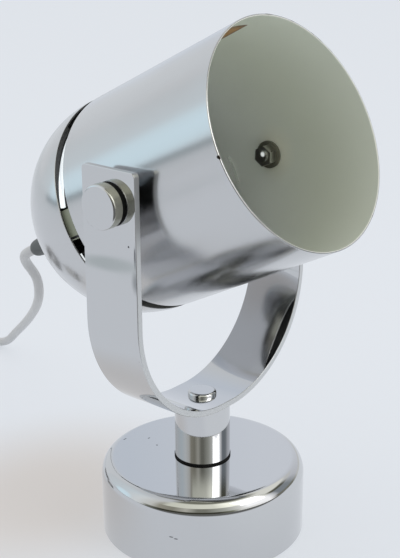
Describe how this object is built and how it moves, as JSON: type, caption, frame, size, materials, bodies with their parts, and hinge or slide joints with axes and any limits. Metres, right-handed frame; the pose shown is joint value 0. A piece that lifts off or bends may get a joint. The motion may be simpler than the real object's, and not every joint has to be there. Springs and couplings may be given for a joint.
{
  "type": "adjustable spot lamp",
  "caption": "Wall spot lamp: round cup base, swivelling stem and yoke, tilting cylindrical shade with a domed back clamped by side knobs, lampholder, cord and plug.",
  "frame": {"origin": "centre of the wall cup's mounting rim, in the plane of the rim and of the bracket's feet", "axes": "+Z away from the wall along the stem's swivel axis, X along the tilt pivot between the two knobs, the shade looks towards -Y and +Z"},
  "size_m": [0.1581, 0.3327, 0.2263],
  "materials": {
    "chrome": "bright chrome plating",
    "zinc": "zinc plated steel",
    "white_enamel": "white enamel, semi gloss",
    "black_plastic": "black moulded plastic",
    "brass": "plain brass",
    "grey_rubber": "dark grey soft plastic",
    "white_pvc": "white soft plastic, satin"
  },
  "bodies": {
    "base": {"base_cup": "chrome", "wall_bracket": "zinc"},
    "yoke": {"stem_washer": "black_plastic", "stem": "chrome", "yoke": "chrome", "yoke_screw": "chrome", "swivel_nut": "zinc", "swivel_spring_washer": "zinc", "knob_washers": "black_plastic", "cord_run": "white_pvc", "cord_coil": "white_pvc", "cord_tail": "white_pvc", "plug_body": "white_pvc", "plug_pins": "zinc"},
    "head": {"shade_tube": "chrome", "rear_dome": "chrome", "vent_ring": "white_enamel", "holder_bridge": "zinc", "lampholder_body": "black_plastic", "lampholder_ring": "black_plastic", "lampholder_cap": "black_plastic", "socket_shell": "brass", "centre_contact": "brass", "nipple": "zinc", "dome_nut": "zinc", "strain_relief": "grey_rubber", "inner_cord": "white_pvc", "pivot_studs": "zinc", "pivot_bushes": "black_plastic", "inner_washers": "zinc", "inner_nuts": "zinc"},
    "knob_l": {"knob_left": "chrome"},
    "knob_r": {"knob_right": "chrome"}
  },
  "joints": [
    {"name": "swivel", "type": "hinge", "parent": "base", "child": "yoke", "pos_m": [0, 0, 0.0322], "axis": [0, 0, 1], "range_deg": [-170, 170]},
    {"name": "tilt", "type": "hinge", "parent": "yoke", "child": "head", "pos_m": [0, 0, 0.159], "axis": [-1, 0, 0], "range_deg": [-115, 45]},
    {"name": "knob_left_turn", "type": "hinge", "parent": "head", "child": "knob_l", "pos_m": [-0.0574, 0, 0.159], "axis": [-1, 0, 0], "range_deg": [-360, 360]},
    {"name": "knob_right_turn", "type": "hinge", "parent": "head", "child": "knob_r", "pos_m": [0.0574, 0, 0.159], "axis": [1, 0, 0], "range_deg": [-360, 360]}
  ]
}
